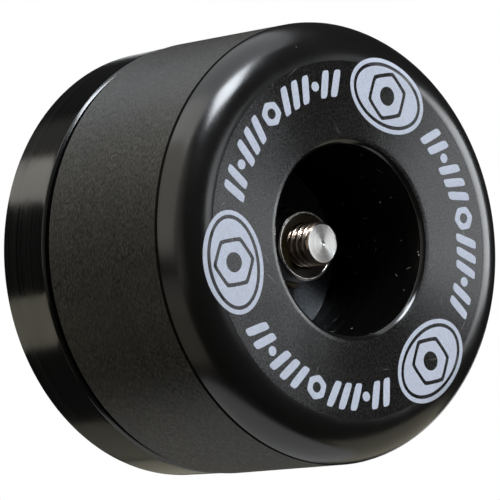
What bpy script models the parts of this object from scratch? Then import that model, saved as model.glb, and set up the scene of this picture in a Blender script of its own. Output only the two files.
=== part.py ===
"""Swingarm protector for a motorbike: a turned plastic bobbin on a metal backing ring.

A threaded stud runs through both. A nylon-insert lock nut holds it at the bottom of the
bobbin's counterbore, and a thin jam nut holds it in a recess in the ring's back.

Units are metres. The part lies as it is fitted, with its axis level along Y. The origin is the
centre of the ring's flat back, which faces +Y, and the bobbin's printed face looks along -Y.
Each piece is modelled upright, at its height over the ring's back, and hangs on an empty that
lays the whole stack level.
"""

import math

import bmesh
import bpy

# Driving dimensions: the bobbin
BODY_LENGTH = 0.02695  # rear edge to flat front face
BODY_REAR_RADIUS = 0.0300
BODY_TAPER = 0.0004  # how much narrower the side is where it meets the nose
BODY_REAR_CHAMFER = 0.00015
NOSE_WIDTH = 0.00575  # from the flat face's edge out to the side
NOSE_DEPTH = 0.00449  # from the flat face back to the crease where the side begins
COUNTERBORE_RADIUS = 0.0129
COUNTERBORE_DEPTH = 0.0187
COUNTERBORE_CHAMFER = 0.0008
FLOOR_FILLET = 0.0009
SPIGOT_RADIUS = 0.0260  # shoulder that seats on the ring

# Driving dimensions: the backing ring
RING_STEP = 0.0001  # how far the ring's side lies inside the bobbin's rear edge
RING_THICKNESS = 0.0092
RING_FRONT_CHAMFER = 0.0003
RING_REAR_CHAMFER = 0.0003
RECESS_RADIUS = 0.0085
RECESS_DEPTH = 0.0060
RECESS_CHAMFER = 0.0005
GROOVE_WIDTH = 0.00135  # open groove between the ring and the bobbin's rear edge

# Driving dimensions: the stud
STUD_RADIUS = 0.00295
STUD_BELOW_FACE = 0.0059  # flat front face to the stud's end
STUD_BACK_INSET = 0.0005  # ring's back to the stud's rear end
STUD_CHAMFER = 0.00035

# Driving dimensions: nuts and washers
WASHER_RADIUS = 0.0060
WASHER_THICKNESS = 0.0012
WASHER_EDGE = 0.00015
NUT_ACROSS_FLATS = 0.0100
NUT_FACE_RADIUS = 0.0048  # flat bearing ring inside the corner chamfers
NUT_CORNER_ANGLE = math.radians(27)
JAM_NUT_HEIGHT = 0.0032
LOCK_NUT_HEIGHT = 0.0076
LOCK_NUT_HEX_HEIGHT = 0.00505
COLLAR_RADIUS = 0.00485
COLLAR_ROLL_RADIUS = 0.00055  # outside edge of the collar, rolled in over the insert
COLLAR_MOUTH_RADIUS = 0.00430
INSERT_POCKET_RADIUS = 0.00445
INSERT_HEIGHT = 0.0019
INSERT_BELOW_RIM = 0.0004
THREAD_MOUTH_CHAMFER = 0.0004

# Clearances
SEAT_GAP = 0.0003  # between faces that bear on each other
THREAD_CLEARANCE = 0.0003  # round the stud, in nuts, insert and washers
HOLE_CLEARANCE = 0.00035  # round the stud, in the bobbin and the ring

# Smoothness of the round forms
BODY_SEGMENTS = 96
SMALL_SEGMENTS = 48
NOSE_STEPS = 9
FILLET_STEPS = 3
SHARP_ANGLE = math.radians(15)

# Sizes and heights worked out from the sizes above
BODY_FRONT_RADIUS = BODY_REAR_RADIUS - BODY_TAPER
RING_RADIUS = BODY_REAR_RADIUS - RING_STEP
NUT_CORNER_RADIUS = NUT_ACROSS_FLATS / 2.0 / math.cos(math.radians(30))
BODY_REAR_Z = RING_THICKNESS + GROOVE_WIDTH
FRONT_Z = BODY_REAR_Z + BODY_LENGTH
FLOOR_Z = FRONT_Z - COUNTERBORE_DEPTH
FRONT_WASHER_Z = FLOOR_Z + SEAT_GAP
LOCK_NUT_Z = FRONT_WASHER_Z + WASHER_THICKNESS + SEAT_GAP
STUD_FRONT_Z = FRONT_Z - STUD_BELOW_FACE
REAR_WASHER_Z = RECESS_DEPTH - SEAT_GAP - WASHER_THICKNESS
JAM_NUT_Z = REAR_WASHER_Z - SEAT_GAP - JAM_NUT_HEIGHT


def clear_scene():
    """Removes whatever the file opened with."""
    for old in list(bpy.data.objects):
        bpy.data.objects.remove(old, do_unlink=True)


def new_collection(name):
    collection = bpy.data.collections.new(name)
    bpy.context.scene.collection.children.link(collection)
    return collection


def level_axis(collection):
    """An empty that lays the upright pieces level, so that their tops look along -Y."""
    axis = bpy.data.objects.new("axis", None)
    axis.rotation_euler.x = math.radians(90)
    collection.objects.link(axis)
    return axis


def make_material(name, color, roughness, metallic):
    material = bpy.data.materials.new(name)
    material.use_nodes = True
    shader = material.node_tree.nodes["Principled BSDF"]
    shader.inputs["Base Color"].default_value = (*color, 1.0)
    shader.inputs["Roughness"].default_value = roughness
    shader.inputs["Metallic"].default_value = metallic
    return material


def arc(center, radius, start, end, steps):
    """Points on an arc in the (radius, height) plane, both ends included."""
    angles = [start + (end - start) * i / steps for i in range(steps + 1)]
    return [(center[0] + radius * math.cos(a), center[1] + radius * math.sin(a)) for a in angles]


def turned(name, outline, segments, collection):
    """Spins an outline about Z. It runs outwards along the top and down the outer side.

    An outline that begins on the axis stays open there. Any other closes on itself.
    """
    points = [(radius, 0.0, height) for radius, height in outline]
    edges = [(i, i + 1) for i in range(len(points) - 1)]
    if outline[0][0] > 0.0:
        edges.append((len(points) - 1, 0))
    mesh = bpy.data.meshes.new(name)
    mesh.from_pydata(points, edges, [])
    piece = bpy.data.objects.new(name, mesh)
    collection.objects.link(piece)
    spin = piece.modifiers.new("Spin", "SCREW")
    spin.axis = "Z"
    spin.angle = 2.0 * math.pi
    spin.screw_offset = 0.0
    spin.steps = segments
    spin.render_steps = segments
    spin.use_merge_vertices = True
    spin.merge_threshold = 0.00001
    return piece


def hexagonal_bar(name, height, collection):
    """An upright hexagonal bar for a nut of this height. It stands past both faces, to be faced off."""
    depth = height + 2.0 * SEAT_GAP
    bar = bmesh.new()
    bmesh.ops.create_cone(
        bar, cap_ends=True, segments=6, radius1=NUT_CORNER_RADIUS, radius2=NUT_CORNER_RADIUS, depth=depth
    )
    bmesh.ops.translate(bar, verts=bar.verts, vec=(0.0, 0.0, height / 2.0))
    mesh = bpy.data.meshes.new(name)
    bar.to_mesh(mesh)
    bar.free()
    piece = bpy.data.objects.new(name, mesh)
    collection.objects.link(piece)
    return piece


def combine(piece, operation, tool):
    """Adds a Boolean that keeps or cuts the tool's shape. The tool becomes a hidden guide."""
    boolean = piece.modifiers.new(tool.name, "BOOLEAN")
    boolean.operation = operation
    boolean.solver = "EXACT"
    boolean.object = tool
    tool.hide_render = True
    tool.display_type = "WIRE"


def finish(piece, height, material, axis):
    """Applies the modifiers, hangs the piece on the axis at its height, and shades it smooth."""
    bpy.context.view_layer.update()
    evaluated = piece.evaluated_get(bpy.context.evaluated_depsgraph_get())
    mesh = bpy.data.meshes.new_from_object(evaluated)
    piece.modifiers.clear()
    piece.data = mesh
    piece.parent = axis
    piece.location.z = height
    mesh.shade_smooth()
    mesh.set_sharp_from_angle(angle=SHARP_ANGLE)
    mesh.materials.clear()
    mesh.materials.append(material)


def make_bobbin(parts, axis):
    """The bobbin's outline: flat face, nose, tapered side, spigot, stud hole, counterbore.

    The nose is one arc, tangent to the flat face. It meets the side at a slight crease.
    """
    nose_radius = (NOSE_WIDTH**2 + NOSE_DEPTH**2) / (2.0 * NOSE_DEPTH)
    nose_center = (BODY_FRONT_RADIUS - NOSE_WIDTH, FRONT_Z - nose_radius)
    nose_end = math.asin((nose_radius - NOSE_DEPTH) / nose_radius)
    spigot_z = RING_THICKNESS + SEAT_GAP
    hole_radius = STUD_RADIUS + HOLE_CLEARANCE
    outline = [(COUNTERBORE_RADIUS + COUNTERBORE_CHAMFER, FRONT_Z)]
    outline += arc(nose_center, nose_radius, math.pi / 2, nose_end, NOSE_STEPS)
    outline += [
        (BODY_REAR_RADIUS, BODY_REAR_Z + BODY_REAR_CHAMFER),
        (BODY_REAR_RADIUS - BODY_REAR_CHAMFER, BODY_REAR_Z),
        (SPIGOT_RADIUS, BODY_REAR_Z),
        (SPIGOT_RADIUS, spigot_z),
        (hole_radius, spigot_z),
        (hole_radius, FLOOR_Z),
    ]
    floor_center = (COUNTERBORE_RADIUS - FLOOR_FILLET, FLOOR_Z + FLOOR_FILLET)
    outline += arc(floor_center, FLOOR_FILLET, -math.pi / 2, 0.0, FILLET_STEPS)
    outline.append((COUNTERBORE_RADIUS, FRONT_Z - COUNTERBORE_CHAMFER))
    bobbin = turned("bobbin", outline, BODY_SEGMENTS, parts)
    plastic = make_material("black_turned_plastic", (0.025, 0.025, 0.027), 0.5, 0.0)
    finish(bobbin, 0.0, plastic, axis)


def make_backing_ring(parts, axis):
    """The ring's outline: seat, front chamfer, side, back, recess for the jam nut, stud hole."""
    hole_radius = STUD_RADIUS + HOLE_CLEARANCE
    outline = [
        (hole_radius, RING_THICKNESS),
        (RING_RADIUS - RING_FRONT_CHAMFER, RING_THICKNESS),
        (RING_RADIUS, RING_THICKNESS - RING_FRONT_CHAMFER),
        (RING_RADIUS, RING_REAR_CHAMFER),
        (RING_RADIUS - RING_REAR_CHAMFER, 0.0),
        (RECESS_RADIUS + RECESS_CHAMFER, 0.0),
        (RECESS_RADIUS, RECESS_CHAMFER),
        (RECESS_RADIUS, RECESS_DEPTH),
        (hole_radius, RECESS_DEPTH),
    ]
    ring = turned("backing_ring", outline, BODY_SEGMENTS, parts)
    anodised = make_material("black_anodised_aluminium", (0.02, 0.02, 0.021), 0.2, 1.0)
    finish(ring, 0.0, anodised, axis)


def make_stud(parts, axis, steel):
    """A rod with a chamfer at each end. Its thread is too fine for these solids."""
    length = STUD_FRONT_Z - STUD_BACK_INSET
    outline = [
        (0.0, length),
        (STUD_RADIUS - STUD_CHAMFER, length),
        (STUD_RADIUS, length - STUD_CHAMFER),
        (STUD_RADIUS, STUD_CHAMFER),
        (STUD_RADIUS - STUD_CHAMFER, 0.0),
        (0.0, 0.0),
    ]
    stud = turned("threaded_stud", outline, SMALL_SEGMENTS, parts)
    finish(stud, STUD_BACK_INSET, steel, axis)


def make_washer(name, height, parts, axis, steel):
    """A flat washer, its upper outside edge broken."""
    inner = STUD_RADIUS + THREAD_CLEARANCE
    outline = [
        (inner, WASHER_THICKNESS),
        (WASHER_RADIUS - WASHER_EDGE, WASHER_THICKNESS),
        (WASHER_RADIUS, WASHER_THICKNESS - WASHER_EDGE),
        (WASHER_RADIUS, 0.0),
        (inner, 0.0),
    ]
    washer = turned(name, outline, SMALL_SEGMENTS, parts)
    finish(washer, height, steel, axis)


def corner_drop(radius):
    """How far a nut's corner chamfer has fallen from its flat face at this radius."""
    return (radius - NUT_FACE_RADIUS) * math.tan(NUT_CORNER_ANGLE)


def threaded_hole_outline(height, pocket):
    """The hole through a nut, wider at each mouth. The pocket's points replace the upper mouth."""
    radius = STUD_RADIUS + THREAD_CLEARANCE
    beyond = SEAT_GAP
    mouth = [
        (radius + THREAD_MOUTH_CHAMFER + beyond, height + beyond),
        (radius, height - THREAD_MOUTH_CHAMFER),
    ]
    outline = [(0.0, (pocket or mouth)[0][1])]
    outline += pocket or mouth
    outline += [
        (radius, THREAD_MOUTH_CHAMFER),
        (radius + THREAD_MOUTH_CHAMFER + beyond, -beyond),
        (0.0, -beyond),
    ]
    return outline


def make_jam_nut(parts, guides, axis, steel):
    """A thin hexagon nut, its corners chamfered at both faces by a turned envelope."""
    reach = NUT_CORNER_RADIUS + SEAT_GAP
    envelope = [
        (0.0, JAM_NUT_HEIGHT),
        (NUT_FACE_RADIUS, JAM_NUT_HEIGHT),
        (reach, JAM_NUT_HEIGHT - corner_drop(reach)),
        (reach, corner_drop(reach)),
        (NUT_FACE_RADIUS, 0.0),
        (0.0, 0.0),
    ]
    nut = hexagonal_bar("jam_nut", JAM_NUT_HEIGHT, parts)
    combine(nut, "INTERSECT", turned("jam_nut_envelope", envelope, SMALL_SEGMENTS, guides))
    hole = threaded_hole_outline(JAM_NUT_HEIGHT, None)
    combine(nut, "DIFFERENCE", turned("jam_nut_hole", hole, SMALL_SEGMENTS, guides))
    finish(nut, JAM_NUT_Z, steel, axis)


def make_lock_nut(parts, guides, axis, steel):
    """A hexagon nut that carries a round collar, whose edge is rolled in over the insert."""
    reach = NUT_CORNER_RADIUS + SEAT_GAP
    roll_center = (COLLAR_RADIUS - COLLAR_ROLL_RADIUS, LOCK_NUT_HEIGHT - COLLAR_ROLL_RADIUS)
    envelope = [(0.0, LOCK_NUT_HEIGHT)]
    envelope += arc(roll_center, COLLAR_ROLL_RADIUS, math.pi / 2, 0.0, FILLET_STEPS + 1)
    envelope += [
        (COLLAR_RADIUS, LOCK_NUT_HEX_HEIGHT - corner_drop(COLLAR_RADIUS)),
        (reach, LOCK_NUT_HEX_HEIGHT - corner_drop(reach)),
        (reach, corner_drop(reach)),
        (NUT_FACE_RADIUS, 0.0),
        (0.0, 0.0),
    ]
    pocket_z = LOCK_NUT_HEIGHT - INSERT_BELOW_RIM - INSERT_HEIGHT - SEAT_GAP
    pocket = [
        (COLLAR_MOUTH_RADIUS, LOCK_NUT_HEIGHT + SEAT_GAP),
        (COLLAR_MOUTH_RADIUS, LOCK_NUT_HEIGHT - INSERT_BELOW_RIM),
        (INSERT_POCKET_RADIUS, LOCK_NUT_HEIGHT - INSERT_BELOW_RIM),
        (INSERT_POCKET_RADIUS, pocket_z),
        (STUD_RADIUS + THREAD_CLEARANCE, pocket_z),
    ]
    nut = hexagonal_bar("lock_nut", LOCK_NUT_HEIGHT, parts)
    combine(nut, "INTERSECT", turned("lock_nut_envelope", envelope, SMALL_SEGMENTS, guides))
    hole = threaded_hole_outline(LOCK_NUT_HEIGHT, pocket)
    combine(nut, "DIFFERENCE", turned("lock_nut_hole", hole, SMALL_SEGMENTS, guides))
    finish(nut, LOCK_NUT_Z, steel, axis)


def make_nylon_insert(parts, axis):
    """The ring in the lock nut's collar that grips the thread."""
    inner = STUD_RADIUS + THREAD_CLEARANCE
    outer = INSERT_POCKET_RADIUS - SEAT_GAP
    outline = [(inner, INSERT_HEIGHT), (outer, INSERT_HEIGHT), (outer, 0.0), (inner, 0.0)]
    insert = turned("nylon_insert", outline, SMALL_SEGMENTS, parts)
    nylon = make_material("nylon", (0.20, 0.16, 0.11), 0.45, 0.0)
    insert_z = LOCK_NUT_Z + LOCK_NUT_HEIGHT - INSERT_BELOW_RIM - SEAT_GAP - INSERT_HEIGHT
    finish(insert, insert_z, nylon, axis)


def main():
    clear_scene()
    parts = new_collection("swingarm_protector")
    guides = new_collection("cutters")
    axis = level_axis(parts)
    stainless = make_material("stainless_steel", (0.62, 0.61, 0.60), 0.25, 1.0)
    zinc = make_material("zinc_plated_steel", (0.60, 0.60, 0.61), 0.3, 1.0)
    make_bobbin(parts, axis)
    make_backing_ring(parts, axis)
    make_stud(parts, axis, stainless)
    make_washer("front_washer", FRONT_WASHER_Z, parts, axis, zinc)
    make_washer("rear_washer", REAR_WASHER_Z, parts, axis, zinc)
    make_lock_nut(parts, guides, axis, zinc)
    make_jam_nut(parts, guides, axis, zinc)
    make_nylon_insert(parts, axis)


main()
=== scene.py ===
import math

import bmesh
import bpy
import numpy as np
from bpy.props import FloatProperty, FloatVectorProperty, IntProperty, PointerProperty
from mathutils import Matrix, Vector


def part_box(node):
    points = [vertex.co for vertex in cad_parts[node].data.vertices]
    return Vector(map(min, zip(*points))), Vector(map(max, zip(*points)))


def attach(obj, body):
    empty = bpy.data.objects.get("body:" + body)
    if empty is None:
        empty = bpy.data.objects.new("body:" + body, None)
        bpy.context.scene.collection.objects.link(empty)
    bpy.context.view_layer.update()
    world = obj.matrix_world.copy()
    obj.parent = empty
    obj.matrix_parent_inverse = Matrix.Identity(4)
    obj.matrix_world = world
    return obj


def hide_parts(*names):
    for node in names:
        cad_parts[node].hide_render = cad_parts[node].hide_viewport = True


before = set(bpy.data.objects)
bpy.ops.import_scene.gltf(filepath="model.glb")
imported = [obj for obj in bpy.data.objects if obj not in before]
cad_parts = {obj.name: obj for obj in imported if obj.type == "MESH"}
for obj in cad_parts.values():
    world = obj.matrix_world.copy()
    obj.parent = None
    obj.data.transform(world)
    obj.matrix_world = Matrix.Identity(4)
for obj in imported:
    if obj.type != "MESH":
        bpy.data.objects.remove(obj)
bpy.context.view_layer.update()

bl_info = {
    "name": "Swingarm Protector Looks",
    "version": (1, 0, 0),
    "blender": (4, 5, 0),
    "location": "View3D > Sidebar > Protector",
    "description": "Fine surfaces, finishes, studio and camera for a turned swingarm protector",
    "category": "Object",
}

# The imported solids' sizes. A height is measured from the ring's back, forwards along the axis.
TURN = 2.0 * math.pi


def back_height(node):
    return -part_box(node)[1].y


def front_height(node):
    return -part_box(node)[0].y


def outer_radius(node):
    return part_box(node)[1].x


def length(name, description, default):
    """A property for a size in metres."""
    units = {"min": 0.0, "precision": 5, "subtype": "DISTANCE", "unit": "LENGTH"}
    return FloatProperty(name=name, description=description, default=default, **units)


def angle(name, description, degrees):
    units = {"subtype": "ANGLE", "unit": "ROTATION"}
    return FloatProperty(name=name, description=description, default=math.radians(degrees), **units)


def share(name, description, default):
    """A property for a value from 0 to 1."""
    units = {"min": 0.0, "max": 1.0, "subtype": "FACTOR"}
    return FloatProperty(name=name, description=description, default=default, **units)


def color(name, description, default):
    units = {"size": 3, "min": 0.0, "max": 1.0, "subtype": "COLOR"}
    return FloatVectorProperty(name=name, description=description, default=default, **units)


def steps_round(default):
    return IntProperty(name="Segments", description="Steps round the axis", default=default, min=24)


class BobbinSettings(bpy.types.PropertyGroup):
    body_length: length("Body length", "Rear edge to flat front face", 0.02695)
    front_radius: length("Front radius", "Where the side meets the nose", 0.0296)
    nose_width: length("Nose width", "From the flat face's edge out to the side", 0.00575)
    nose_depth: length("Nose depth", "From the flat face back to the crease", 0.00449)
    crease_depth: length("Crease depth", "Tool mark between the nose and the side", 0.00025)
    rear_chamfer: length("Rear chamfer", "On the rear edge", 0.00015)
    bore_radius: length("Counterbore radius", "Straight wall of the counterbore", 0.01286)
    bore_depth: length("Counterbore depth", "From the face down to the floor", 0.0187)
    mouth_width: length("Mouth width", "Soft dip of the face round the counterbore's lip", 0.00045)
    lip_width: length("Lip width", "Glossy lip between the dip and the wall", 0.0005)
    floor_fillet: length("Floor fillet", "Between the counterbore's wall and floor", 0.0002)
    spigot_radius: length("Spigot radius", "Shoulder behind the rear edge", 0.0260)
    plastic: color("Plastic", "Black plastic", (0.0085, 0.008, 0.0075))
    side_plastic: color("Side plastic", "Plastic greyed by the grain of the side", (0.0135, 0.0128, 0.0105))
    # The counterbore's inner edge, coloured paler than the plastic in uneven stretches.
    edge: color("Worn edge", "Scuffed edge of the counterbore", (0.06, 0.06, 0.058))
    segments: steps_round(300)


class RingSettings(bpy.types.PropertyGroup):
    front_chamfer: length("Front chamfer", "Bright edge beside the groove, along the axis", 0.00028)
    front_land: length("Front land", "The front chamfer's width towards the axis", 0.00036)
    rear_chamfer: length("Rear chamfer", "On the ring's back edge", 0.0003)
    recess_radius: length("Recess radius", "Round the jam nut", 0.0085)
    recess_depth: length("Recess depth", "From the ring's back", 0.0060)
    recess_chamfer: length("Recess chamfer", "At the recess's mouth", 0.0005)
    anodising: color("Anodising", "Black anodised aluminium", (0.004, 0.004, 0.004))
    roughness: share("Roughness", "Of the polished side", 0.13)
    segments: steps_round(300)


class FastenerSettings(bpy.types.PropertyGroup):
    thread_pitch: length("Thread pitch", "From crest to crest", 0.00115)
    thread_depth: length("Thread depth", "From crest to root", 0.00056)
    across_flats: length("Across flats", "Of both nuts", 0.0100)
    nut_face_radius: length("Nut face radius", "Flat ring inside the corner chamfers", 0.0048)
    collar_radius: length("Collar radius", "Round collar over the insert", 0.00485)
    collar_mouth: length("Collar mouth", "Inside radius of the rolled edge", 0.0043)
    hex_height: length("Hexagon height", "Of the lock nut, below its collar", 0.00505)
    steel: color("Steel", "Stainless and plated steel", (0.66, 0.645, 0.62))
    thread: color("Thread", "The stud's thread, tarnished brown", (0.62, 0.50, 0.41))
    nylon: color("Nylon", "The lock nut's insert", (0.03, 0.021, 0.009))


class PrintSettings(bpy.types.PropertyGroup):
    ink: color("Ink", "White print on the face", (0.65, 0.69, 0.81))
    thickness: length("Thickness", "Of the ink", 0.00003)
    band_radius: length("Band radius", "Middle of the band of marks", 0.0208)
    bar_height: length("Bar height", "Of a slanted bar, from the axis outwards", 0.0036)
    bar_width: length("Bar width", "Of a slanted bar's stroke", 0.0012)
    pitch: length("Pitch", "From bar to bar along the band", 0.00195)
    dot_radius: length("Dot radius", "Of the small round dots", 0.00065)
    badge_width: length("Badge width", "Of an oval badge, along the band", 0.0135)
    badge_height: length("Badge height", "Of an oval badge, across the band", 0.0097)
    badge_turn: angle("Badge turn", "Angle of the first badge", 68.0)


class StageSettings(bpy.types.PropertyGroup):
    azimuth: angle("Azimuth", "0 looks along +Y", -40.222)
    elevation: angle("Elevation", "Above the horizon", -3.65)
    roll: angle("Roll", "Round the line of sight", -3.31)
    distance: length("Distance", "From the camera to the printed face", 0.41565)
    face_right: length("Face to the right", "Of the middle of the picture", 0.013555)
    face_up: length("Face above", "The middle of the picture", 0.001382)
    lens: FloatProperty(name="Lens", description="Focal length", default=226.5, subtype="DISTANCE_CAMERA")
    floor_drop: length("Floor drop", "From the axis down to the floor", 0.12)
    floor_radius: length("Floor radius", "Of the round floor", 0.085)
    room: share("Room", "Grey level of the room's own light", 0.018)


# Surfaces


def on_axis(radius, angle, height):
    """Points round the axis: (radius cos angle, -height, radius sin angle)."""
    radius, angle, height = np.broadcast_arrays(radius, angle, height)
    return np.stack([radius * np.cos(angle), -height, radius * np.sin(angle)], axis=-1)


def unit(vectors):
    return vectors / np.maximum(np.linalg.norm(vectors, axis=-1, keepdims=True), 1e-12)


def rounded(corners, steps=6):
    """A closed profile through (radius, height, rounding) corners.

    Each corner with a rounding becomes an arc tangent to both its sides: its centre lies on the
    corner's bisector at rounding / sin(half the corner's angle).
    """
    corners = np.array(corners, float)
    points, rounding = corners[:, :2], corners[:, 2:3]
    back = unit(np.roll(points, 1, axis=0) - points)
    ahead = unit(np.roll(points, -1, axis=0) - points)
    half = np.arccos(np.clip(np.sum(back * ahead, axis=1, keepdims=True), -1.0, 1.0)) / 2.0
    half = np.maximum(half, 1e-6)
    center = points + unit(back + ahead) * rounding / np.sin(half)
    start = points + back * rounding / np.tan(half) - center
    end = points + ahead * rounding / np.tan(half) - center
    sweep = np.maximum(math.pi - 2.0 * half, 1e-9)[:, None]
    along = np.linspace(0.0, 1.0, steps)[None, :, None]
    arcs = np.sin((1.0 - along) * sweep) * start[:, None] + np.sin(along * sweep) * end[:, None]
    arcs = arcs / np.sin(sweep)
    arcs = np.where(rounding[:, None] > 0.0, center[:, None] + arcs, points[:, None])
    profile = arcs.reshape(-1, 2)
    apart = np.linalg.norm(profile - np.roll(profile, 1, axis=0), axis=1) > 1e-8
    return profile[apart]


def spaced(profile, gap):
    """The closed profile with evenly spaced points added, so that no two lie further apart than the gap."""
    ends = np.roll(profile, -1, axis=0)
    counts = np.ceil(np.linalg.norm(ends - profile, axis=1) / gap).astype(int)
    runs = [a + (b - a) * np.arange(count)[:, None] / count for a, b, count in zip(profile, ends, counts)]
    return np.concatenate(runs)


def grid_faces(rows, columns, wraps):
    """Four-sided faces of a grid whose columns close round, and whose rows close too where it wraps."""
    row = np.arange(rows if wraps else rows - 1)[:, None] * columns
    column = np.arange(columns)[None, :]
    below, beside = (row + columns) % (rows * columns), (column + 1) % columns
    return np.stack([row + column, below + column, below + beside, row + beside], axis=-1).reshape(-1, 4)


def new_piece(name, points, faces, finishes, finish_of_row=None, sharp=40.0):
    """A mesh object at the origin that rides on the frame. Points that coincide, as at a pole, are merged.

    Each row of faces may have its own finish, given by its place in the list of finishes.
    """
    mesh = bpy.data.meshes.new(name)
    mesh.from_pydata(points.reshape(-1, 3), [], faces)
    for finish in finishes:
        mesh.materials.append(finish)
    if finish_of_row is not None:
        places = np.repeat(finish_of_row, points.shape[1])
        mesh.polygons.foreach_set("material_index", places.astype(np.int32))
    shape = bmesh.new()
    shape.from_mesh(mesh)
    bmesh.ops.remove_doubles(shape, verts=shape.verts, dist=1e-8)
    shape.to_mesh(mesh)
    shape.free()
    mesh.shade_smooth()
    mesh.set_sharp_from_angle(angle=math.radians(sharp))
    piece = bpy.data.objects.new(name, mesh)
    bpy.context.scene.collection.objects.link(piece)
    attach(piece, "root")
    return piece


def turned_piece(name, profile, segments, finishes, finish_of_row=None):
    """Spins a closed profile about the axis. It runs outwards along the front and back along the outside."""
    angles = np.arange(segments) * TURN / segments
    points = on_axis(profile[:, :1], angles[None, :], profile[:, 1:])
    return new_piece(name, points, grid_faces(len(profile), segments, wraps=True), finishes, finish_of_row)


# Node groups and materials


def add_node(tree, kind, **values):
    """A node with values for its inputs, by name, and its settings, by attribute."""
    node = tree.nodes.new(kind)
    for key, value in values.items():
        if hasattr(node, key):
            setattr(node, key, value)
        else:
            node.inputs[key].default_value = value
    return node


def plug(node, *values):
    """Gives the node's inputs, in their order, these numbers and sockets. Returns its first output."""
    for socket, value in zip(node.inputs, values):
        if isinstance(value, bpy.types.NodeSocket):
            node.id_data.links.new(value, socket)
        elif value is not None:
            socket.default_value = value
    return node.outputs[0]


def wire(node, **values):
    """Links each value to the node's input of that name, in which _ stands for a space."""
    for label, value in values.items():
        node.id_data.links.new(value, node.inputs[label.replace("_", " ")])


def math_node(operation, *values, kind="ShaderNodeMath"):
    """A Math node in the tree of the sockets that it reads. Each value is a number or a socket."""
    tree = next(value.id_data for value in values if isinstance(value, bpy.types.NodeSocket))
    return plug(add_node(tree, kind, operation=operation), *values)


def times(first, second):
    return math_node("MULTIPLY", first, second)


def plus(first, second):
    return math_node("ADD", first, second)


def minus(first, second):
    return math_node("SUBTRACT", first, second)


def parts_of(value, kind="ShaderNodeSeparateXYZ"):
    """The three parts of a vector or, with another kind of node, of a colour."""
    node = value.id_data.nodes.new(kind)
    plug(node, value)
    return node.outputs


def joined_vector(tree, *parts):
    return plug(tree.nodes.new("ShaderNodeCombineXYZ"), *parts)


def new_group(name, inputs, outputs):
    """A node group with float inputs {name: default} and outputs. Returns its tree, inputs and end node."""
    tree = bpy.data.node_groups.new(name, "ShaderNodeTree")
    for label, default in inputs.items():
        socket = tree.interface.new_socket(name=label, in_out="INPUT", socket_type="NodeSocketFloat")
        socket.default_value = default
    for label in outputs:
        tree.interface.new_socket(name=label, in_out="OUTPUT", socket_type="NodeSocketFloat")
    return tree, tree.nodes.new("NodeGroupInput").outputs, tree.nodes.new("NodeGroupOutput")


def object_point(tree):
    return tree.nodes.new("ShaderNodeTexCoord").outputs["Object"]


def turned_marks_group():
    """Concentric tool marks: noise of (radius, height) per pitch, nearly constant round the axis."""
    tree, given, result = new_group("Turned marks", {"Pitch": 0.0002, "Waver": 0.4}, ("Height", "Band"))
    x, y, z = parts_of(object_point(tree))
    radius = math_node("SQRT", plus(times(x, x), times(z, z)))
    across = math_node("DIVIDE", x, math_node("MAXIMUM", radius, 0.0001))
    point = joined_vector(
        tree,
        math_node("DIVIDE", radius, given["Pitch"]),
        math_node("DIVIDE", y, given["Pitch"]),
        times(across, given["Waver"]),
    )
    for label, scale, detail, roughness in (("Height", 1.0, 2.0, 0.6), ("Band", 0.13, 1.0, 0.5)):
        noise = add_node(tree, "ShaderNodeTexNoise", Scale=scale, Detail=detail, Roughness=roughness)
        wire(noise, Vector=point)
        wire(result, **{label: noise.outputs[0]})
    return tree


def grain_group():
    """Fine grain: noise at a grain's size, with a coarser mottle. Stretch narrows it along the axis."""
    tree, given, result = new_group("Grain", {"Size": 0.0003, "Stretch": 1.0}, ("Height", "Mottle"))
    scale = math_node("DIVIDE", 1.0, given["Size"])
    stretch = joined_vector(tree, 1.0, given["Stretch"], 1.0)
    drawn = math_node("MULTIPLY", object_point(tree), stretch, kind="ShaderNodeVectorMath")
    for label, factor, detail in (("Height", 1.0, 2.0), ("Mottle", 0.06, 3.0)):
        noise = add_node(tree, "ShaderNodeTexNoise", Detail=detail, Roughness=0.6)
        wire(noise, Vector=drawn, Scale=times(scale, factor))
        wire(result, **{label: noise.outputs[0]})
    return tree


def specks_group():
    """Scattered specks of dust: in a few cells of a Voronoi pattern, a dot round the cell's point."""
    tree, given, result = new_group("Specks", {"Spacing": 0.003, "Share": 0.2, "Dot": 0.03}, ("Mask",))
    cells = tree.nodes.new("ShaderNodeTexVoronoi")
    wire(cells, Vector=object_point(tree), Scale=math_node("DIVIDE", 1.0, given["Spacing"]))
    chance = parts_of(cells.outputs["Color"], "ShaderNodeSeparateColor")
    chosen = math_node("LESS_THAN", chance[0], given["Share"])
    reach = times(given["Dot"], plus(chance[1], 0.3))
    near = math_node("LESS_THAN", cells.outputs["Distance"], reach)
    wire(result, Mask=times(chosen, near))
    return tree


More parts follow.
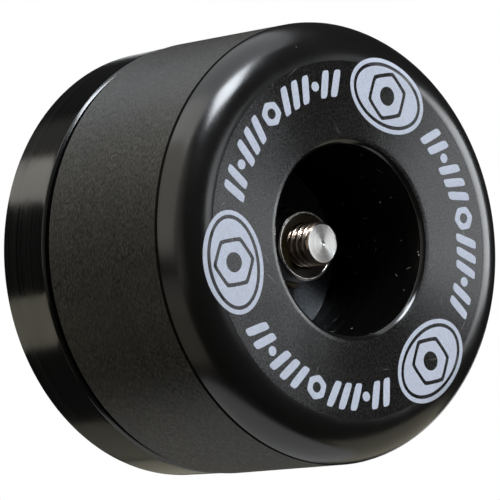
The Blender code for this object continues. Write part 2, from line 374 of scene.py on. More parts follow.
def scratches_group():
    """Short hairlines: in a few cells of a flat Voronoi pattern, one bent line through the cell's point.

    The line's angle, length and bend are the cell's own, and it thins towards its ends. With a
    Radius of 0 the pattern lies flat on the face. Otherwise it is wrapped round a wall of that radius.
    """
    inputs = {"Spacing": 0.005, "Share": 0.3, "Length": 0.002, "Width": 0.00006, "Radius": 0.0}
    tree, given, result = new_group("Scratches", inputs, ("Mask",))
    x, y, z = parts_of(object_point(tree))
    walled = math_node("GREATER_THAN", given["Radius"], 0.0)
    flat = minus(1.0, walled)
    around = times(math_node("ARCTAN2", z, x), given["Radius"])
    unrolled = joined_vector(
        tree,
        math_node("MULTIPLY_ADD", x, flat, around),
        math_node("MULTIPLY_ADD", z, flat, times(y, walled)),
    )
    cells = add_node(tree, "ShaderNodeTexVoronoi", voronoi_dimensions="2D")
    wire(cells, Vector=unrolled, Scale=math_node("DIVIDE", 1.0, given["Spacing"]))
    offset = math_node("SUBTRACT", unrolled, cells.outputs["Position"], kind="ShaderNodeVectorMath")
    u, v, _ = parts_of(offset)
    chance = parts_of(cells.outputs["Color"], "ShaderNodeSeparateColor")
    angle = times(chance[0], math.pi)
    cosine, sine = math_node("COSINE", angle), math_node("SINE", angle)
    along = math_node("MULTIPLY_ADD", u, cosine, times(v, sine))
    across = minus(times(v, cosine), times(u, sine))
    bend = times(minus(chance[1], 0.5), 80.0)
    across = math_node("MULTIPLY_ADD", times(along, along), bend, across)
    reach = times(given["Length"], plus(chance[1], 0.3))
    rest = minus(1.0, math_node("DIVIDE", math_node("ABSOLUTE", along), reach))
    thin = math_node("LESS_THAN", math_node("ABSOLUTE", across), times(rest, given["Width"]))
    chosen = math_node("LESS_THAN", chance[2], given["Share"])
    wire(result, Mask=times(thin, chosen))
    return tree


EFFECTS = {
    "Turned marks": turned_marks_group,
    "Grain": grain_group,
    "Specks": specks_group,
    "Scratches": scratches_group,
}


def effect(tree, name, **values):
    """Places one of the shared node groups, made when it is first needed, with its own values."""
    node = tree.nodes.new("ShaderNodeGroup")
    node.node_tree = bpy.data.node_groups.get(name) or EFFECTS[name]()
    for label, value in values.items():
        node.inputs[label].default_value = value
    return node.outputs


def new_material(name, **constants):
    """A material with its Principled BSDF. The constants are set on the shader's own sockets."""
    material = bpy.data.materials.new(name)
    material.use_nodes = True
    shader = material.node_tree.nodes["Principled BSDF"]
    for label, value in constants.items():
        shader.inputs[label.replace("_", " ")].default_value = value
    return material, material.node_tree, shader


def spread(value, low, high, from_low=0.3, from_high=0.7):
    """The value stretched from one range to another, and held at the new range's ends."""
    node = add_node(value.id_data, "ShaderNodeMapRange", clamp=True)
    return plug(node, value, from_low, from_high, low, high)


def tint(base, amount, other=None, mask=None):
    """The base colour brightened or darkened by an amount, then mixed with another colour by a mask."""
    scaled = math_node("SCALE", tuple(base), None, None, amount, kind="ShaderNodeVectorMath")
    if other is None:
        return scaled
    mix = add_node(amount.id_data, "ShaderNodeMix", data_type="RGBA")
    links = amount.id_data.links
    links.new(mask, mix.inputs[0])
    links.new(scaled, mix.inputs[6])
    mix.inputs[7].default_value = (*other, 1.0)
    return mix.outputs[2]


def relief(height, depth):
    """The normal from a Bump node over this height, this deep."""
    bump = add_node(height.id_data, "ShaderNodeBump", Strength=1.0, Distance=depth)
    wire(bump, Height=height)
    return bump.outputs[0]


def turned_grain(tree, shader):
    """Turns the shader's anisotropy across the tool marks, which run round the axis."""
    tangent = add_node(tree, "ShaderNodeTangent", direction_type="RADIAL", axis="Y")
    wire(shader, Tangent=tangent.outputs[0])
    shader.inputs["Anisotropic Rotation"].default_value = 0.25


DUST = (0.42, 0.41, 0.39)


def face_plastic(name, base, level, low, high, scratched):
    """A finely turned flat: concentric marks, a sheen across them, and hairline scratches where scratched."""
    material, tree, shader = new_material(name, Anisotropic=0.9, IOR=1.55, Specular_IOR_Level=level)
    turned_grain(tree, shader)
    marks = effect(tree, "Turned marks", Pitch=0.00016, Waver=1.2)
    grain = effect(tree, "Grain", Size=0.0003)
    hairlines = effect(tree, "Scratches", Spacing=0.0045, Share=0.25, Length=0.0017, Width=0.00006)
    amount = times(spread(marks["Band"], 0.8, 1.25), spread(grain["Height"], 0.3, 1.9))
    wire(
        shader,
        Base_Color=tint(base, amount, DUST, times(hairlines["Mask"], scratched)),
        Roughness=plus(spread(grain["Mottle"], low, high), spread(grain["Height"], -0.05, 0.05)),
        Normal=relief(plus(marks["Height"], times(grain["Height"], 0.35)), 0.000003),
    )
    return material


def nose_plastic(name, base, low, high):
    """Smooth plastic: satin gloss of this roughness with faint tool marks and a few specks."""
    material, tree, shader = new_material(name, IOR=1.55)
    marks = effect(tree, "Turned marks", Pitch=0.0004, Waver=0.8)
    grain = effect(tree, "Grain", Size=0.00035)
    specks = effect(tree, "Specks", Spacing=0.0025, Share=0.12, Dot=0.035)
    wire(
        shader,
        Base_Color=tint(base, spread(marks["Band"], 0.7, 1.0), DUST, specks["Mask"]),
        Roughness=spread(grain["Mottle"], low, high),
        Normal=relief(plus(marks["Height"], grain["Height"]), 0.000002),
    )
    return material


def side_plastic(base):
    """The matt side: turned plastic with a broad sheen along the axis, glossy flecks and olive patches."""
    coat = {"Coat_Roughness": 0.5, "Coat_IOR": 1.6}
    material, tree, shader = new_material("grainy_side", Anisotropic=0.92, IOR=1.55, **coat)
    turned_grain(tree, shader)
    marks = effect(tree, "Turned marks", Pitch=0.0004, Waver=3.0)
    flecks = effect(tree, "Grain", Size=0.0005, Stretch=2.6)
    patches = effect(tree, "Grain", Size=0.0011)
    amount = times(spread(flecks["Height"], 0.0, 2.4, 0.35, 0.68), spread(marks["Band"], 0.75, 1.25))
    olive = [value * part for value, part in zip(base, (1.0, 0.85, 0.5))]
    gloss = times(spread(flecks["Height"], 0.0, 1.0, 0.42, 0.62), spread(patches["Mottle"], 0.3, 1.0))
    grit = math_node("MULTIPLY_ADD", flecks["Height"], 3.0, times(patches["Height"], 4.0))
    wire(
        shader,
        Base_Color=tint(base, amount, olive, spread(patches["Mottle"], 0.0, 0.8, 0.42, 0.6)),
        Roughness=plus(spread(patches["Mottle"], 0.0, 0.1), spread(flecks["Height"], 0.44, 0.7)),
        Coat_Weight=gloss,
        Normal=relief(plus(marks["Height"], grit), 0.00002),
    )
    return material


def bore_plastic(base, radius):
    """The counterbore's smooth wall, its plastic darkened to a third as painted shade, with specks of swarf.
    """
    material, tree, shader = new_material("smooth_bore", IOR=1.5)
    marks = effect(tree, "Turned marks", Pitch=0.0003, Waver=0.5)
    specks = effect(tree, "Specks", Spacing=0.0018, Share=0.4, Dot=0.085)
    swarf = effect(tree, "Scratches", Spacing=0.0026, Share=0.22, Length=0.0006, Width=0.00007, Radius=radius)
    scattered = math_node("MAXIMUM", specks["Mask"], times(swarf["Mask"], 0.6))
    # Painted shade: the wall's plastic is darkened to a third, for the shade inside the counterbore.
    shade_darkened = [0.35 * value for value in base]
    wire(
        shader,
        Base_Color=tint(shade_darkened, spread(marks["Band"], 0.8, 1.2), DUST, scattered),
        Roughness=spread(marks["Band"], 0.2, 0.3),
        Normal=relief(marks["Height"], 0.000002),
    )
    return material


def ring_metal(base, roughness):
    """Polished black anodising: deep gloss with fine turning lines and smears, and specks of dust."""
    material, tree, shader = new_material("black_anodised", IOR=1.6, Anisotropic=0.3)
    turned_grain(tree, shader)
    marks = effect(tree, "Turned marks", Pitch=0.0003, Waver=0.8)
    smears = effect(tree, "Grain", Size=0.0009, Stretch=2.0)
    specks = effect(tree, "Specks", Spacing=0.0028, Share=0.16, Dot=0.035)
    dull = plus(spread(smears["Mottle"], 0.8, 1.5), spread(marks["Height"], -0.2, 0.3))
    wire(
        shader,
        Base_Color=tint(base, spread(marks["Height"], 0.3, 2.2), DUST, specks["Mask"]),
        Roughness=times(dull, roughness),
        Normal=relief(plus(marks["Height"], times(smears["Height"], 0.6)), 0.000004),
    )
    return material


def steel(name, base, roughness, anisotropic, pitch, stain):
    """Turned or plated steel: tool marks round the axis, and a brown stain in patches."""
    material, tree, shader = new_material(name, Metallic=1.0, Anisotropic=anisotropic)
    turned_grain(tree, shader)
    marks = effect(tree, "Turned marks", Pitch=pitch, Waver=0.6)
    grain = effect(tree, "Grain", Size=0.0004)
    stained = [value * drop for value, drop in zip(base, (0.66, 0.5, 0.38))]
    mask = times(spread(grain["Mottle"], 0.0, 1.0, 0.45, 0.65), stain)
    wire(
        shader,
        Base_Color=tint(base, spread(marks["Band"], 0.85, 1.1), stained, mask),
        Roughness=spread(grain["Mottle"], roughness * 0.85, roughness * 1.25),
        Normal=relief(plus(marks["Height"], times(grain["Height"], 0.5)), 0.000004),
    )
    return material


def mottled(name, base, size, shades, patches, roughness, depth, **constants):
    """A plain surface with shades from grain to grain, broader patches, and a relief this deep."""
    material, tree, shader = new_material(name, **constants)
    grain = effect(tree, "Grain", Size=size)
    amount = times(spread(grain["Height"], *shades), spread(grain["Mottle"], *patches))
    wire(shader, Base_Color=tint(base, amount), Roughness=spread(grain["Mottle"], *roughness))
    if depth > 0.0:
        wire(shader, Normal=relief(grain["Height"], depth))
    return material


def pale_inner_edge(base):
    """The counterbore's inner edge: plastic coloured paler in uneven stretches."""
    return mottled("pale_inner_edge", base, 0.0004, (0.5, 1.5), (0.35, 1.3), (0.2, 0.3), 0.00002, IOR=1.5)


def crease_painted_shade(base):
    """The crease's groove, darkened towards black and with little gloss, as painted shade."""
    dull = {"IOR": 1.5, "Specular_IOR_Level": 0.1}
    return mottled("crease_painted_shade", base, 0.0004, (0.1, 0.5), (1.0, 1.0), (0.8, 0.95), 0.0, **dull)


def nylon(base):
    """The insert's smooth nylon, a little cloudy."""
    soft = {"IOR": 1.53, "Specular_IOR_Level": 0.2}
    return mottled("insert_nylon", base, 0.0005, (1.0, 1.0), (0.75, 1.2), (0.35, 0.5), 0.000006, **soft)


def print_ink(base):
    """Pale ink, laid on a little unevenly."""
    return mottled("print_ink", base, 0.00022, (0.86, 1.06), (0.95, 1.05), (0.5, 0.62), 0.000008, IOR=1.45)


# The bobbin

BOBBIN_FRONT = front_height("bobbin")
INK_ROOM = 0.00004  # how far the fine face lies behind the solid's, so that the ink stays within it
FACE_HEIGHT = BOBBIN_FRONT - INK_ROOM
FLOOR_PAINTED_LIGHT = (0.05, 0.056, 0.064)  # the counterbore's floor: black plastic painted paler and bluish, as painted cool light

# The counterbore's mouth. The dip's drop is a share of the mouth's width, the others of the lip's.
DIP_DROP = 0.27
LIP_MIDDLE_DROP = 0.41
LIP_END_DROP = 0.93

CLOSE = 0.00001  # within this, a profile point lies on a height or radius
STUD_ROOM = 0.00035  # round the stud, in the bobbin and the ring


def nose_shape(bobbin):
    """The nose's radius, and its centre as (radius, height): an arc tangent to the face."""
    radius = (bobbin.nose_width**2 + bobbin.nose_depth**2) / (2.0 * bobbin.nose_depth)
    return radius, (bobbin.front_radius - bobbin.nose_width, FACE_HEIGHT - radius)


def front_surface(bobbin, radius):
    """Height of the face or nose at this radius, and the slope angle of its surface there."""
    nose_radius, (flat_edge, center_height) = nose_shape(bobbin)
    slope = np.arcsin(np.clip((radius - flat_edge) / nose_radius, 0.0, 0.99))
    return center_height + nose_radius * np.cos(slope), slope


class PROTECTOR_OT_bobbin(bpy.types.Operator):
    """Makes the bobbin: flat face, nose, crease, tapered side, rear shoulder and counterbore"""

    bl_idname = "protector.bobbin"
    bl_label = "Bobbin"

    def execute(self, context):
        bobbin = context.scene.protector_bobbin
        nose_radius, nose_center = nose_shape(bobbin)
        crease_height = BOBBIN_FRONT - bobbin.nose_depth
        crease = bobbin.crease_depth
        end = math.asin((crease_height + crease - nose_center[1]) / nose_radius)
        sweep = np.linspace(math.pi / 2.0, end, 28)
        nose_points = nose_center + nose_radius * np.stack([np.cos(sweep), np.sin(sweep)], axis=-1)
        nose = [(*point, 0.0) for point in nose_points]
        rear = BOBBIN_FRONT - bobbin.body_length
        spigot = back_height("bobbin")
        rear_radius = outer_radius("bobbin") - CLOSE / 2.0
        hole = outer_radius("threaded_stud") + STUD_ROOM
        floor = BOBBIN_FRONT - bobbin.bore_depth
        lip = bobbin.bore_radius + bobbin.lip_width
        dip = FACE_HEIGHT - DIP_DROP * bobbin.mouth_width
        lip_end = dip - LIP_END_DROP * bobbin.lip_width
        profile = rounded(
            [(lip + bobbin.mouth_width, FACE_HEIGHT, 0.0012)]
            + nose
            + [
                (bobbin.front_radius - crease, crease_height, 0.0),
                (bobbin.front_radius, crease_height - crease, 0.00003),
                (rear_radius, rear + bobbin.rear_chamfer, 0.00006),
                (rear_radius - bobbin.rear_chamfer, rear, 0.00006),
                (bobbin.spigot_radius, rear, 0.0002),
                (bobbin.spigot_radius, spigot, 0.0001),
                (hole, spigot, 0.0001),
                (hole, floor, 0.0001),
                (bobbin.bore_radius, floor, bobbin.floor_fillet),
                (bobbin.bore_radius, lip_end, 0.00008),
                (lip - 0.5 * bobbin.lip_width, dip - LIP_MIDDLE_DROP * bobbin.lip_width, 0.0004),
                (lip, dip, 0.0003),
            ]
        )
        profile = spaced(profile, 0.0008)
        middle = (profile + np.roll(profile, -1, axis=0)) / 2.0
        radius, height = middle[:, 0], middle[:, 1]
        on_face = (height > dip) & (radius > lip) & (radius < nose_center[0])
        on_nose = (height > crease_height) & (radius > nose_center[0])
        in_bore = (height > floor - CLOSE) & (radius < bobbin.bore_radius + CLOSE)
        on_lip = (height > floor + 0.001) & (radius < lip + CLOSE)
        on_floor = (np.abs(height - floor) < CLOSE) & (radius < bobbin.bore_radius)
        on_edge = (np.abs(height - lip_end) < 6.0 * CLOSE) & (radius < lip)
        in_crease = np.abs(height - crease_height + crease / 2.0) < crease / 2.0
        in_crease &= radius > bobbin.front_radius - crease
        masks = [on_edge, on_floor, on_face, in_crease, on_nose, in_bore, on_lip]
        finish_of_row = np.select(masks, [5, 4, 0, 6, 1, 3, 7], default=2)
        finishes = [
            face_plastic("turned_face", bobbin.plastic, level=0.5, low=0.24, high=0.29, scratched=0.3),
            nose_plastic("smooth_nose", bobbin.plastic, low=0.18, high=0.24),
            side_plastic(bobbin.side_plastic),
            bore_plastic(bobbin.plastic, bobbin.bore_radius),
            # The floor's paler, bluish base colour is painted cool light on the black plastic.
            face_plastic("turned_floor", FLOOR_PAINTED_LIGHT, level=1.0, low=0.42, high=0.5, scratched=0.0),
            pale_inner_edge(bobbin.edge),
            # The crease's near-black finish is painted shade.
            crease_painted_shade(bobbin.plastic),
            nose_plastic("glossy_lip", bobbin.plastic, low=0.13, high=0.17),
        ]
        piece = turned_piece("turned_bobbin", profile, bobbin.segments, finishes, finish_of_row)
        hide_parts("bobbin")
        return {"FINISHED"}


class PROTECTOR_OT_ring(bpy.types.Operator):
    """Makes the backing ring with its polished chamfers and the recess in its back"""

    bl_idname = "protector.ring"
    bl_label = "Backing ring"

    def execute(self, context):
        ring = context.scene.protector_ring
        radius = outer_radius("backing_ring")
        thickness = front_height("backing_ring")
        hole = outer_radius("threaded_stud") + STUD_ROOM
        edge = 0.00012
        profile = rounded(
            [
                (hole, thickness, edge),
                (radius - ring.front_land, thickness, edge),
                (radius, thickness - ring.front_chamfer, edge),
                (radius, ring.rear_chamfer, edge),
                (radius - ring.rear_chamfer, 0.0, edge),
                (ring.recess_radius + ring.recess_chamfer, 0.0, edge),
                (ring.recess_radius, ring.recess_chamfer, edge),
                (ring.recess_radius, ring.recess_depth, 0.0004),
                (hole, ring.recess_depth, edge),
            ]
        )
        finish = ring_metal(ring.anodising, ring.roughness)
        piece = turned_piece("polished_ring", spaced(profile, 0.0009), ring.segments, [finish])
        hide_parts("backing_ring")
        return {"FINISHED"}


# Fasteners


class PROTECTOR_OT_stud(bpy.types.Operator):
    """Makes the stud as one height field: a helical thread that runs out into a chamfer at each end"""

    bl_idname = "protector.stud"
    bl_label = "Threaded stud"

    def execute(self, context):
        settings = context.scene.protector_fasteners
        low, high = back_height("threaded_stud"), front_height("threaded_stud")
        crest = outer_radius("threaded_stud")
        chamfer, columns = 0.00035, 96
        flat, flank = 0.26, 0.56  # shares of half a pitch: the crest's flat, and the flank down to the root
        height = np.arange(low, high, settings.thread_pitch / 16.0)
        height = np.append(height, high)[:, None]
        angle = (np.arange(columns) * TURN / columns)[None, :]
        turns = height / settings.thread_pitch - angle / TURN
        from_crest = np.abs(turns - np.round(turns)) * 2.0
        groove = np.clip((from_crest - flat) / flank, 0.0, 1.0)
        groove = groove * groove * (3.0 - 2.0 * groove) * 0.35 + groove * 0.65
        radius = crest - settings.thread_depth * groove
        from_end = np.minimum(high - height, height - low)
        radius = np.minimum(radius, crest - chamfer + from_end)
        shaft = on_axis(radius, angle, height)[::-1]
        steps = np.linspace(0.0, 1.0, 20)[:, None] ** 1.3
        dome = 0.00003
        dimple = 0.00014 * np.maximum(1.0 - (steps / 0.13) ** 2, 0.0)
        front = on_axis(radius[-1:] * steps, angle, high - dome * steps**2 - dimple)
        back = on_axis(radius[:1] * steps[::-1], angle, low)
        points = np.concatenate([front[:-1], shaft, back[1:]])
        faces = grid_faces(len(points), columns, wraps=False)
        rows = np.arange(len(points) - 1)
        on_end = (rows < len(steps) - 1) | (rows > len(points) - len(steps))
        end_steel = [0.88 * value for value in settings.steel]
        finishes = [
            steel("thread_steel", settings.thread, roughness=0.22, anisotropic=0.0, pitch=0.00012, stain=0.9),
            steel("turned_end", end_steel, roughness=0.36, anisotropic=0.85, pitch=0.00003, stain=0.12),
        ]
        piece = new_piece("fine_stud", points, faces, finishes, on_end, sharp=50.0)
        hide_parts("threaded_stud")
        return {"FINISHED"}


def hexagon_radius(angle, half_width, rounding):
    """A hexagon's radius at each angle: half its width over cos(angle from the nearest flat's middle).

    The corners are rounded by a smooth minimum with the corner's own radius.
    """
    sixth = TURN / 6.0
    from_flat = angle - sixth * np.round(angle / sixth)
    radius = half_width / np.cos(from_flat)
    corner = half_width / math.cos(sixth / 2.0)
    return radius - 0.6 * rounding * np.log1p(np.exp((radius - corner) / rounding + 1.8))


def hexagonal_piece(name, profile, across_flats, finishes, finish_of_row=None):
    """A nut: at each angle the smaller of the turned profile's radius and the hexagon's."""
    columns = 192
    angle = (np.arange(columns) * TURN / columns)[None, :]
    radius = np.minimum(profile[:, :1], hexagon_radius(angle, across_flats / 2.0, 0.00012))
    points = on_axis(radius, angle, profile[:, 1:])
    faces = grid_faces(len(profile), columns, wraps=True)
    return new_piece(name, points, faces, finishes, finish_of_row, sharp=50.0)


class PROTECTOR_OT_nuts(bpy.types.Operator):
    """Makes the lock nut with its rolled collar, the jam nut, the insert and both washers"""

    bl_idname = "protector.nuts"
    bl_label = "Nuts, insert and washers"

    def execute(self, context):
        settings = context.scene.protector_fasteners
        plating = {"anisotropic": 0.0, "pitch": 0.0004}
        plated = steel("plated_steel", settings.steel, roughness=0.22, stain=0.45, **plating)
        # Painted shade: the lock nut's hexagon below the collar gets a darker, duller copy of the plating,
        # for the shade deep in the counterbore.
        shade_darkened = [0.3 * value for value in settings.steel]
        dull = steel("painted_shade_plating", shade_darkened, roughness=0.4, stain=1.0, **plating)
        hole = outer_radius("threaded_stud") + 0.0001
        entry = hole + 0.0004
        width = settings.across_flats
        face, corner = settings.nut_face_radius, width / 2.0 / math.cos(math.radians(30.0))
        slope = math.tan(math.radians(27.0))
        drop = (corner - face) * slope

        low, high = back_height("lock_nut"), front_height("lock_nut")
        shoulder = low + settings.hex_height
        collar, mouth = settings.collar_radius, settings.collar_mouth
        pocket, rim = mouth + 0.00012, high - 0.0004
        corners = [
            (mouth, high, 0.00014),
            (collar, high, 0.00032),
            (collar, shoulder - (collar - face) * slope, 0.0002),
            (corner, shoulder - drop, 0.0001),
            (corner, low + drop, 0.0001),
            (face, low, 0.0001),
            (entry, low, 0.0001),
            (hole, low + 0.0004, 0.0),
            (hole, rim - 0.0022, 0.0),
            (pocket, rim - 0.0022, 0.0),
            (pocket, rim, 0.00005),
            (mouth, rim + 0.0001, 0.0),
        ]
        profile = spaced(rounded(corners), 0.0003)
        # The rows below the collar take the painted-shade plating.
        below = (profile[:, 1] < shoulder) & (profile[:, 0] > mouth)
        nut = hexagonal_piece("rolled_lock_nut", profile, width, [plated, dull], below)
        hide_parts("lock_nut")

        low, high = back_height("jam_nut"), front_height("jam_nut")
        corners = [
            (entry, high, 0.0001),
            (face, high, 0.0001),
            (corner, high - drop, 0.0001),
            (corner, low + drop, 0.0001),
            (face, low, 0.0001),
            (entry, low, 0.0001),
            (hole, low + 0.0004, 0.0),
            (hole, high - 0.0004, 0.0),
        ]
        nut = hexagonal_piece("fine_jam_nut", spaced(rounded(corners), 0.0003), width, [plated])
        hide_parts("jam_nut")

        low, high = back_height("nylon_insert"), front_height("nylon_insert") + 0.0006
        edge = 0.0001
        corners = [(hole, high - 0.0003, 0.0002), (mouth, high, edge), (mouth, low, edge), (hole, low, edge)]
        insert = turned_piece("cloudy_insert", spaced(rounded(corners), 0.0002), 128, [nylon(settings.nylon)])
        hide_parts("nylon_insert")

        for node in ("front_washer", "rear_washer"):
            low, high = back_height(node), front_height(node)
            inner, outer = hole + 0.0002, outer_radius(node)
            corners = [(inner, high, edge), (outer, high, 0.0002), (outer, low, 0.00008), (inner, low, edge)]
            washer = turned_piece("plated_" + node, spaced(rounded(corners), 0.0004), 192, [plated])
            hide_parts(node)
        return {"FINISHED"}


# Print


def ink_pads(bobbin, settings, inner, outer, bearings, rows):
    """Thin closed pads of ink between two curves, one at each bearing. Returns their points and faces.

    The curves are (along, outwards) points round the pad's middle. A point lies at the band's
    radius plus its outward part, shifted clockwise by its along part, on the front surface and
    lifted along its normal. The rows run out over the top and back in under the surface. They
    close round to a ring, unless the inner curve is a single point.
    """
    steps = np.linspace(0.0, 1.0, rows)
    outwards = np.concatenate([steps, steps[::-1]])[:, None, None]
    lift = np.repeat([1.0, -0.6], rows) * settings.thickness
    lift[rows - 1] *= 0.75
    flat = inner + (outer - inner) * outwards
    along, reach = flat[..., 0], settings.band_radius + flat[..., 1]
    bearing = np.asarray(bearings)[:, None, None]
    x = reach * np.cos(bearing) + along * np.sin(bearing)
    z = reach * np.sin(bearing) - along * np.cos(bearing)
    radius, angle = np.hypot(x, z), np.arctan2(z, x)
    height, slope = front_surface(bobbin, radius)
    lift = lift[None, :, None]
    points = on_axis(radius + lift * np.sin(slope), angle, height + lift * np.cos(slope))
    faces = grid_faces(2 * rows, flat.shape[1], wraps=bool(np.ptp(inner, axis=0).max() > 0.0))
    starts = np.arange(len(bearing))[:, None, None] * flat.shape[0] * flat.shape[1]
    return points.reshape(-1, 3), (faces[None] + starts).reshape(-1, 4)


def joined(parts):
    """Several (points, faces) as one, with the faces' numbers moved up."""
    starts = np.cumsum([0] + [len(points) for points, faces in parts[:-1]])
    return (
        np.concatenate([points for points, faces in parts]),
        np.concatenate([faces + start for start, (points, faces) in zip(starts, parts)]),
    )


class PROTECTOR_OT_print(bpy.types.Operator):
    """Makes the print: bars, dots and hexagons between three nut badges, draped on the face"""

    bl_idname = "protector.print"
    bl_label = "Print"

    def execute(self, context):
        bobbin = context.scene.protector_bobbin
        settings = context.scene.protector_print
        angle = np.arange(96) * TURN / 96
        around = np.stack([np.cos(angle), np.sin(angle)], axis=-1)
        point = np.zeros((len(angle), 2))

        def hexagon(half_width):
            return around * hexagon_radius(angle, half_width, 0.0001)[:, None]

        # A bar is a superellipse of power 5, sheared so that it leans along the band.
        power = (np.abs(around) ** 5.0).sum(axis=1, keepdims=True) ** -0.2
        bar = around * power * (settings.bar_width / 2.0, settings.bar_height / 2.0)
        bar[:, 0] += 0.32 * bar[:, 1]
        dot = around * settings.dot_radius
        badge = np.array([settings.badge_width, settings.badge_height]) / 2.0

        badges = settings.badge_turn + np.arange(3) * TURN / 3.0
        middles = (badges + TURN / 6.0)[:, None]
        pitch = settings.pitch / settings.band_radius
        bars = (middles + np.array([-6.4, -5.4, -3.6, -2.6, -1.6, 1.6, 2.6, 3.6, 5.4, 6.4]) * pitch).ravel()
        dots = (middles + np.array([-4.5, 4.5]) * pitch).ravel()
        pads = (
            (point, bar, bars, 4),
            (point, dot, dots, 3),
            (around * 0.0007, hexagon(0.00155), middles.ravel(), 3),
            (around * (badge - 0.0006), around * badge, badges, 3),
            (hexagon(0.0031), around * (badge - 0.0011), badges, 8),
            (around * 0.0013, hexagon(0.0026), badges, 4),
        )
        points, faces = joined([ink_pads(bobbin, settings, *pad) for pad in pads])
        piece = new_piece("printed_band", points, faces, [print_ink(settings.ink)])
        return {"FINISHED"}


# Stage


BLUE = (0.88, 0.94, 1.0)
COOL = (0.93, 0.965, 1.0)
WARM = (1.0, 0.97, 0.88)
OLIVE = (1.0, 0.95, 0.74)

# Each soft box: bearing and elevation in degrees, distance, width, height, glow and colour.
# The bearing is 0 straight behind the part, 90 to its right and 180 in front of it.
# The glow is the box's brightness, where a white wall in full light is 1.
SOFT_BOXES = {
    "key_box": (-175, 52, 1.0, 0.34, 0.34, 21.0, BLUE),
    "ceiling": (-90, 82, 1.1, 1.3, 1.5, 1.35, COOL),
    "left_box": (-97, 34, 1.0, 0.9, 1.42, 1.2, WARM),
    "left_near_card": (-126, 17, 1.0, 0.18, 1.2, 0.42, WARM),
    "left_dim_card": (-135.5, 17, 1.0, 0.16, 1.1, 0.22, WARM),
    "left_mid_card": (-98, -18, 1.0, 0.9, 0.22, 0.42, WARM),
    "left_low_card": (-98, -37, 1.0, 0.9, 0.5, 0.38, OLIVE),
    "right_box": (119, 7.5, 1.0, 0.45, 0.34, 6.3, COOL),
    "front_card": (157, 7, 1.0, 0.26, 0.22, 2.8, COOL),
    "right_card": (93, -38, 1.0, 1.1, 0.6, 0.6, OLIVE),
    "rear_box": (-30, 28, 1.0, 0.4, 0.21, 1.55, WARM),
    "rear_upper_card": (-22, 37, 1.0, 0.55, 0.22, 0.12, WARM),
    "rear_white": (37, 8, 1.0, 0.28, 0.34, 1.0, COOL),
    "rear_lower_card": (-35, -16, 1.0, 0.3, 0.28, 0.8, OLIVE),
    "rear_low_card": (37, -19, 1.0, 0.28, 0.36, 0.3, OLIVE),
    "under_card": (-30, -78, 0.12, 0.1, 0.08, 0.2, OLIVE),
    "rear_floor_card": (15, -38, 1.0, 0.38, 0.32, 0.2, OLIVE),
}
SPOT_AIM = Vector((0.0055, -0.0188, -0.0118))  # on the counterbore's floor, below the nut
BACKDROP_BEARING = (54.0, -10.0)
BACKDROP_SIZE = (0.36, 0.26)


def facing(bearing, elevation, distance, target=Vector()):
    """A place at this bearing, elevation and distance from the target, with its -Z turned to the target.

    The direction out to it is (sin b cos e, cos b cos e, sin e).
    """
    bearing, elevation = math.radians(bearing), math.radians(elevation)
    level = math.cos(elevation)
    outward = Vector((math.sin(bearing) * level, math.cos(bearing) * level, math.sin(elevation)))
    turn = outward.to_track_quat("Z", "Y").to_matrix().to_4x4()
    return Matrix.Translation(target + outward * distance) @ turn


def soft_box(name, bearing, elevation, distance, width, height, glow, color_of_light):
    """A rectangular lamp that faces the part. Its power is the glow times pi times its area."""
    light = bpy.data.lights.new(name, "AREA")
    light.shape = "RECTANGLE"
    light.size, light.size_y = width, height
    light.energy = glow * math.pi * width * height
    light.color = color_of_light
    lamp = bpy.data.objects.new(name, light)
    lamp.matrix_world = facing(bearing, elevation, distance)
    lamp.visible_camera = False
    bpy.context.scene.collection.objects.link(lamp)


def narrow_spot(name, bearing, elevation, distance, target, energy):
    """A narrow cool spot that lights the target."""
    light = bpy.data.lights.new(name, "SPOT")
    light.energy, light.color = energy, (0.8, 0.9, 1.0)
    light.spot_size, light.spot_blend, light.shadow_soft_size = math.radians(1.7), 1.0, 0.004
    lamp = bpy.data.objects.new(name, light)
    lamp.matrix_world = facing(bearing, elevation, distance, target)
    bpy.context.scene.collection.objects.link(lamp)


def pale_material(name, level, glow):
    """A pale plain surface that also glows towards white to camera, glossy and transmission rays."""
    material, tree, shader = new_material(name, Roughness=0.9, Specular_IOR_Level=0.0)
    shader.inputs["Base Color"].default_value = (level, level, level, 1.0)
    shader.inputs["Emission Color"].default_value = (1.0, 1.0, 1.0, 1.0)
    path = tree.nodes.new("ShaderNodeLightPath").outputs
    seen = path["Is Camera Ray"]
    for ray in ("Is Glossy Ray", "Is Transmission Ray"):
        seen = math_node("MAXIMUM", seen, path[ray])
    wire(shader, Emission_Strength=times(seen, glow))
    return material


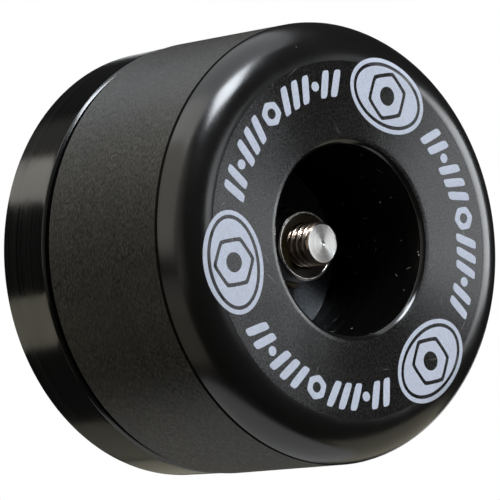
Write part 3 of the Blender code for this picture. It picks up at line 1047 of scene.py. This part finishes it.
class PROTECTOR_OT_stage(bpy.types.Operator):
    """Makes the camera, the soft boxes, the floor, the backdrop and the room's own light"""

    bl_idname = "protector.stage"
    bl_label = "Stage"

    def execute(self, context):
        scene = context.scene
        stage = scene.protector_stage
        tilt = Matrix.Rotation(math.pi / 2.0 - stage.elevation, 3, "X")
        turn = Matrix.Rotation(stage.azimuth, 3, "Z") @ tilt @ Matrix.Rotation(stage.roll, 3, "Z")
        from_face = turn @ Vector((-stage.face_right, -stage.face_up, stage.distance))
        place = Vector((0.0, -BOBBIN_FRONT, 0.0)) + from_face
        lens = bpy.data.cameras.new("camera")
        lens.lens, lens.sensor_width = stage.lens, 36.0
        camera = bpy.data.objects.new("camera", lens)
        camera.matrix_world = Matrix.Translation(place) @ turn.to_4x4()
        scene.collection.objects.link(camera)
        scene.camera = camera
        scene.view_settings.view_transform = "Standard"

        for name, values in SOFT_BOXES.items():
            soft_box(name, *values)
        narrow_spot("bore_spot", -176, 33, 0.35, SPOT_AIM, energy=4.2)

        under = (0.0, -0.01, -stage.floor_drop)
        radius = stage.floor_radius
        bpy.ops.mesh.primitive_circle_add(radius=radius, location=under, vertices=96, fill_type="NGON")
        floor = context.object
        floor.name = "floor"
        floor.data.materials.append(pale_material("floor_paint", 0.32, 0.5))
        bpy.ops.mesh.primitive_plane_add(size=1.0)
        backdrop = context.object
        backdrop.name = "backdrop"
        backdrop.matrix_world = facing(*BACKDROP_BEARING, 1.1) @ Matrix.Diagonal((*BACKDROP_SIZE, 1.0, 1.0))
        backdrop.data.materials.append(pale_material("backdrop_paint", 0.3, 1.0))

        world = bpy.data.worlds.new("room")
        scene.world = world
        world.use_nodes = True
        background = world.node_tree.nodes["Background"]
        background.inputs["Color"].default_value = (1.0, 1.0, 1.0, 1.0)
        path = world.node_tree.nodes.new("ShaderNodeLightPath").outputs
        wire(background, Strength=spread(path["Is Camera Ray"], stage.room, 1.0, 0.0, 1.0))
        return {"FINISHED"}


class PROTECTOR_PT_panel(bpy.types.Panel):
    """Lists the steps and sizes of the protector's looks"""

    bl_idname = "PROTECTOR_PT_panel"
    bl_label = "Protector"
    bl_space_type = "VIEW_3D"
    bl_region_type = "UI"
    bl_category = "Protector"

    def draw(self, context):
        for operator in OPERATORS:
            self.layout.operator(operator.bl_idname)
        for attribute, group in SETTINGS.items():
            box = self.layout.box()
            for label in group.__annotations__:
                box.prop(getattr(context.scene, attribute), label)


SETTINGS = {
    "protector_bobbin": BobbinSettings,
    "protector_ring": RingSettings,
    "protector_fasteners": FastenerSettings,
    "protector_print": PrintSettings,
    "protector_stage": StageSettings,
}
OPERATORS = (
    PROTECTOR_OT_bobbin,
    PROTECTOR_OT_ring,
    PROTECTOR_OT_stud,
    PROTECTOR_OT_nuts,
    PROTECTOR_OT_print,
    PROTECTOR_OT_stage,
)


def register():
    for group in SETTINGS.values():
        bpy.utils.register_class(group)
    for operator in OPERATORS:
        bpy.utils.register_class(operator)
    bpy.utils.register_class(PROTECTOR_PT_panel)
    for attribute, group in SETTINGS.items():
        setattr(bpy.types.Scene, attribute, PointerProperty(type=group))


def unregister():
    for attribute in SETTINGS:
        delattr(bpy.types.Scene, attribute)
    bpy.utils.unregister_class(PROTECTOR_PT_panel)
    for operator in OPERATORS:
        bpy.utils.unregister_class(operator)
    for group in SETTINGS.values():
        bpy.utils.unregister_class(group)


def main():
    """Makes every piece and the stage."""
    register()
    for operator in OPERATORS:
        group, name = operator.bl_idname.split(".")
        getattr(getattr(bpy.ops, group), name)()


if __name__ == "__main__":
    main()
